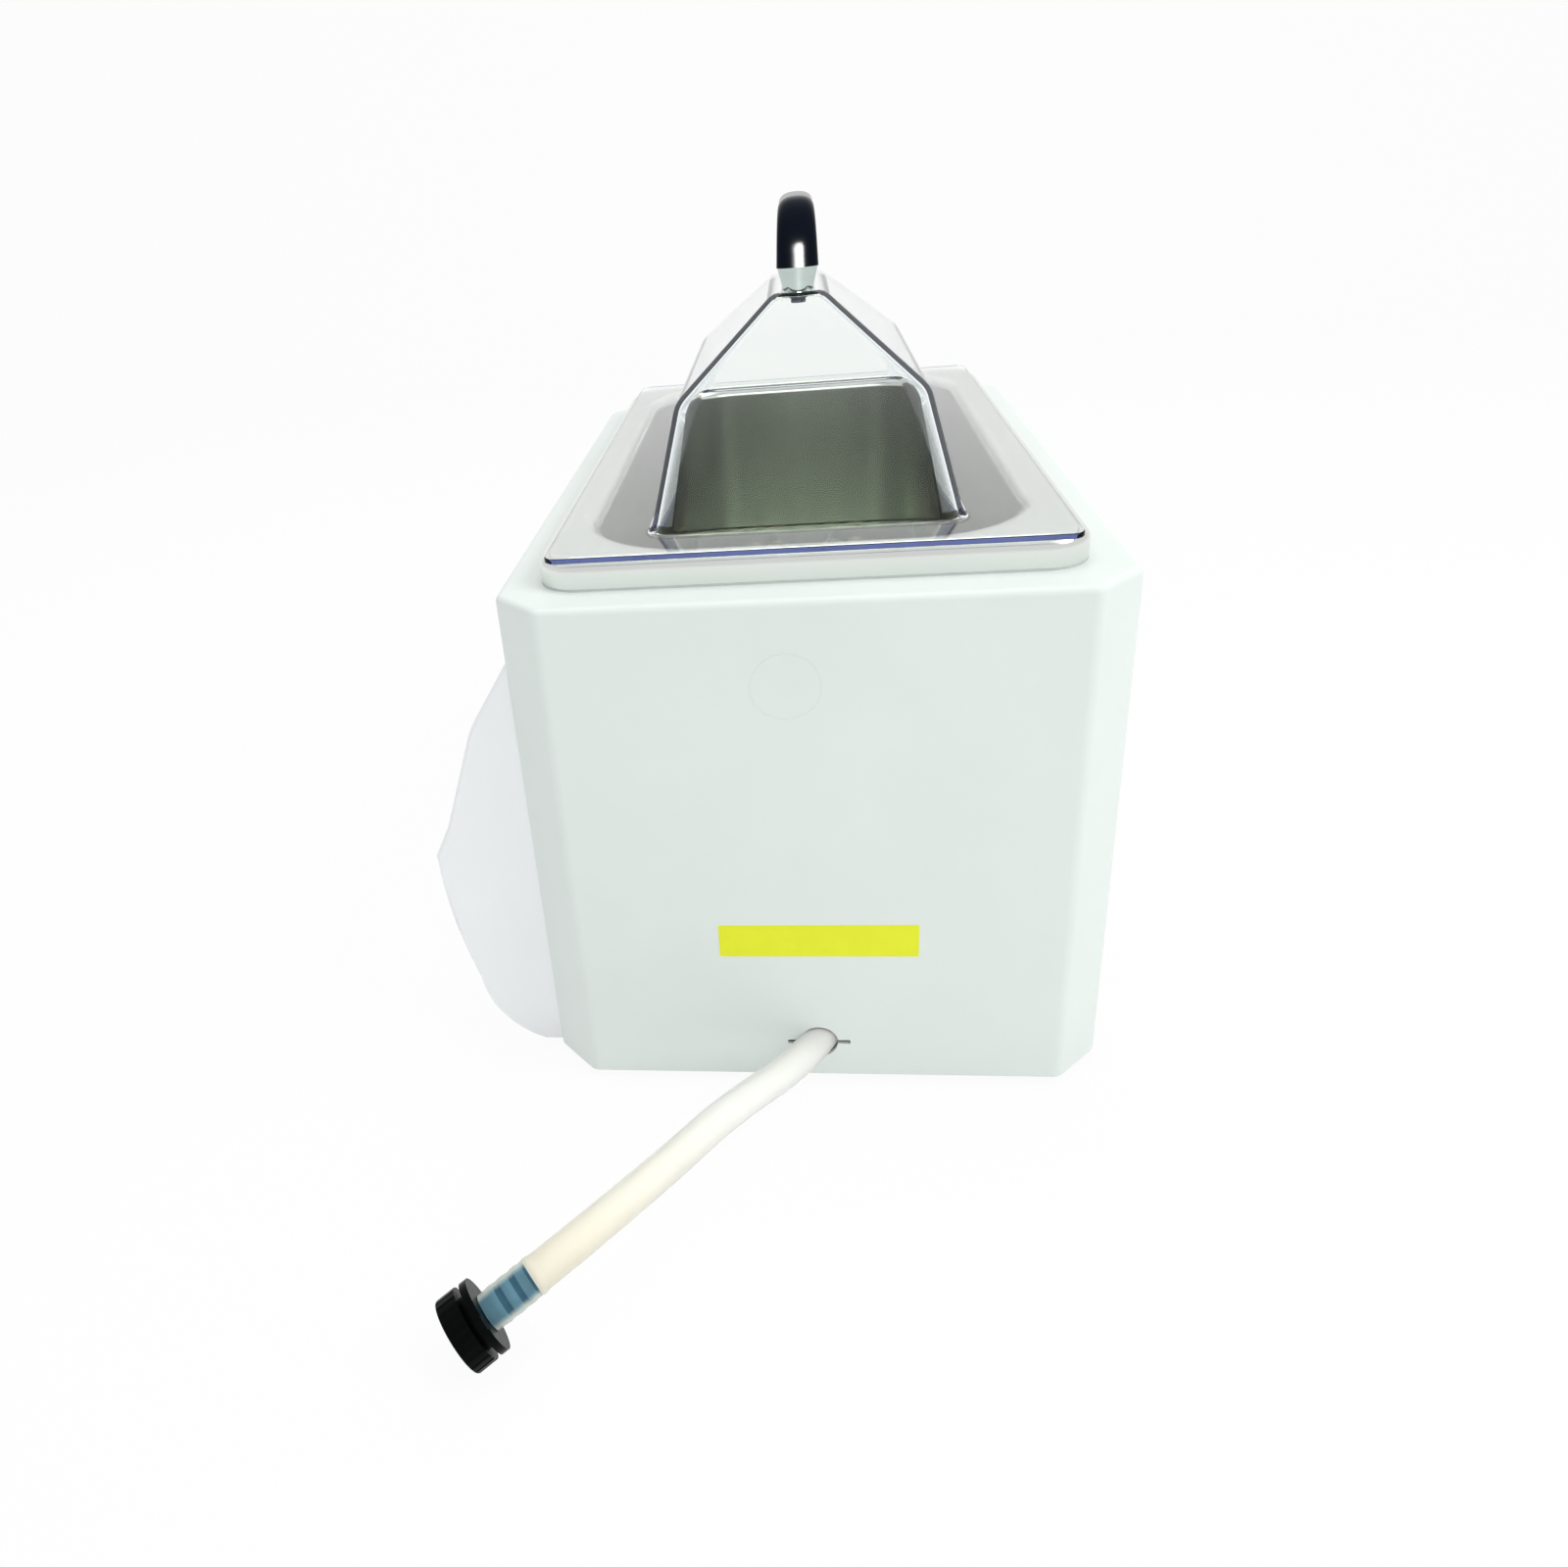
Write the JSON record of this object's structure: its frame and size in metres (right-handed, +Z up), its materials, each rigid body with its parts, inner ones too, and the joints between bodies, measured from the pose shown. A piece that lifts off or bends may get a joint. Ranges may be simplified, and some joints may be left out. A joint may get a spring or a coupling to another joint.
{
  "type": "circulating water bath",
  "caption": "Heated circulating water bath with a steel tank under a clear lift-off hipped lid, a white cased body, a sloping control fascia and a plugged drain hose at one end.",
  "frame": {"origin": "middle of the footprint of the bath without its free drain hose and plug, on the surface that it stands on", "axes": "+Z up, +X along the tank towards the drain end, -Y towards the sloping front fascia, +Y towards the hose nozzles at the back"},
  "size_m": [0.7405, 0.434, 0.5004],
  "materials": {
    "housing_white": "powder coat, satin",
    "base_grey": "powder coat, matte",
    "foot_rubber": "matte",
    "zinc_steel": "zinc plated",
    "strip_yellow": "plain film",
    "tank_steel": "brushed stainless",
    "gasket_grey": "matte",
    "insulation_wool": "pressed mineral wool",
    "heater_steel": "dull stainless",
    "gland_brass": "turned",
    "lid_clear": "clear moulded plastic",
    "handle_black": "polished",
    "handle_chrome": "polished",
    "screw_dark": "blackened",
    "fascia_white": "satin",
    "overlay_grey": "fine texture",
    "window_dark": "smoked clear",
    "module_black": "matte",
    "board_green": "lacquered",
    "key_grey": "soft",
    "key_green": "soft",
    "switch_black": "matte",
    "rocker_black": "gloss",
    "inlet_black": "matte",
    "pin_brass": "nickel plated",
    "nozzle_steel": "turned stainless",
    "pump_grey": "glass filled",
    "impeller_white": "moulded",
    "shaft_steel": "ground",
    "seal_black": "matte",
    "motor_paint": "satin",
    "bearing_chrome": "polished",
    "core_iron": "laminated",
    "hose_silicone": "translucent silicone",
    "drain_silicone": "translucent silicone",
    "plug_black": "moulded",
    "transformer_blue": "potted",
    "sink_aluminium": "extruded",
    "relay_cream": "moulded",
    "cable_grey": "sheathed"
  },
  "bodies": {
    "bath": {"housing_shell": "housing_white", "base_plate": "base_grey", "feet": "foot_rubber", "case_screws": "zinc_steel", "label_strip": "strip_yellow", "tank": "tank_steel", "rim_gasket": "gasket_grey", "tank_clamps": "zinc_steel", "tank_insulation": "insulation_wool", "floor_grid": "tank_steel", "heater_tube": "heater_steel", "wall_glands": "gland_brass", "temperature_probe": "shaft_steel", "cutout_probe": "shaft_steel", "front_fascia": "fascia_white", "panel_overlay": "overlay_grey", "display_window": "window_dark", "display_module": "module_black", "control_board": "board_green", "switch_frame": "switch_black", "power_inlet": "inlet_black", "inlet_pins": "pin_brass", "fuse_holder": "inlet_black", "hose_nozzles": "nozzle_steel", "nozzle_nuts": "gland_brass", "pump_volute": "pump_grey", "pump_cover": "pump_grey", "shaft_seal": "seal_black", "motor_can": "motor_paint", "motor_bearings": "bearing_chrome", "motor_stator": "core_iron", "pump_bracket": "zinc_steel", "tank_spigots": "gland_brass", "suction_hose": "hose_silicone", "delivery_hose": "hose_silicone", "return_hose": "hose_silicone", "drain_hose_inside": "drain_silicone", "drain_clamp": "zinc_steel", "drain_hose": "drain_silicone", "drain_plug_spigot": "plug_black", "drain_plug_cap": "plug_black", "power_board": "board_green", "transformer": "transformer_blue", "heat_sink": "sink_aluminium", "heater_relay": "relay_cream", "control_harness": "cable_grey", "mains_harness": "cable_grey"},
    "lid_set": {"lid": "lid_clear", "handle_grip": "handle_black", "handle_ends": "handle_chrome", "handle_screws": "screw_dark"},
    "key_menu_cap": {"key_menu": "key_grey"},
    "key_down_cap": {"key_down": "key_grey"},
    "key_up_cap": {"key_up": "key_grey"},
    "key_start_cap": {"key_start": "key_green"},
    "rocker": {"switch_rocker": "rocker_black"},
    "pump_rotor": {"pump_shaft": "shaft_steel", "pump_impeller": "impeller_white", "motor_rotor": "core_iron"}
  },
  "joints": [
    {"name": "lid_lift", "type": "slide", "parent": "bath", "child": "lid_set", "axis": [0, 0, 1], "range_m": [0, 0.25]},
    {"name": "key_menu_press", "type": "slide", "parent": "bath", "child": "key_menu_cap", "axis": [0, 0.9398, -0.3417], "range_m": [0, 0.0008], "stiffness_N_per_m": 600, "springref_m": -0.0006},
    {"name": "key_down_press", "type": "slide", "parent": "bath", "child": "key_down_cap", "axis": [0, 0.9398, -0.3417], "range_m": [0, 0.0008], "stiffness_N_per_m": 600, "springref_m": -0.0006},
    {"name": "key_up_press", "type": "slide", "parent": "bath", "child": "key_up_cap", "axis": [0, 0.9398, -0.3417], "range_m": [0, 0.0008], "stiffness_N_per_m": 600, "springref_m": -0.0006},
    {"name": "key_start_press", "type": "slide", "parent": "bath", "child": "key_start_cap", "axis": [0, 0.9398, -0.3417], "range_m": [0, 0.0008], "stiffness_N_per_m": 600, "springref_m": -0.0006},
    {"name": "rocker_tilt", "type": "hinge", "parent": "bath", "child": "rocker", "pos_m": [0.124, -0.19024, 0.20363], "axis": [1, 0, 0], "range_deg": [-16, 0]},
    {"name": "pump_spin", "type": "hinge", "parent": "bath", "child": "pump_rotor", "pos_m": [-0.12, 0.017, 0.086], "axis": [1, 0, 0], "continuous": true}
  ]
}
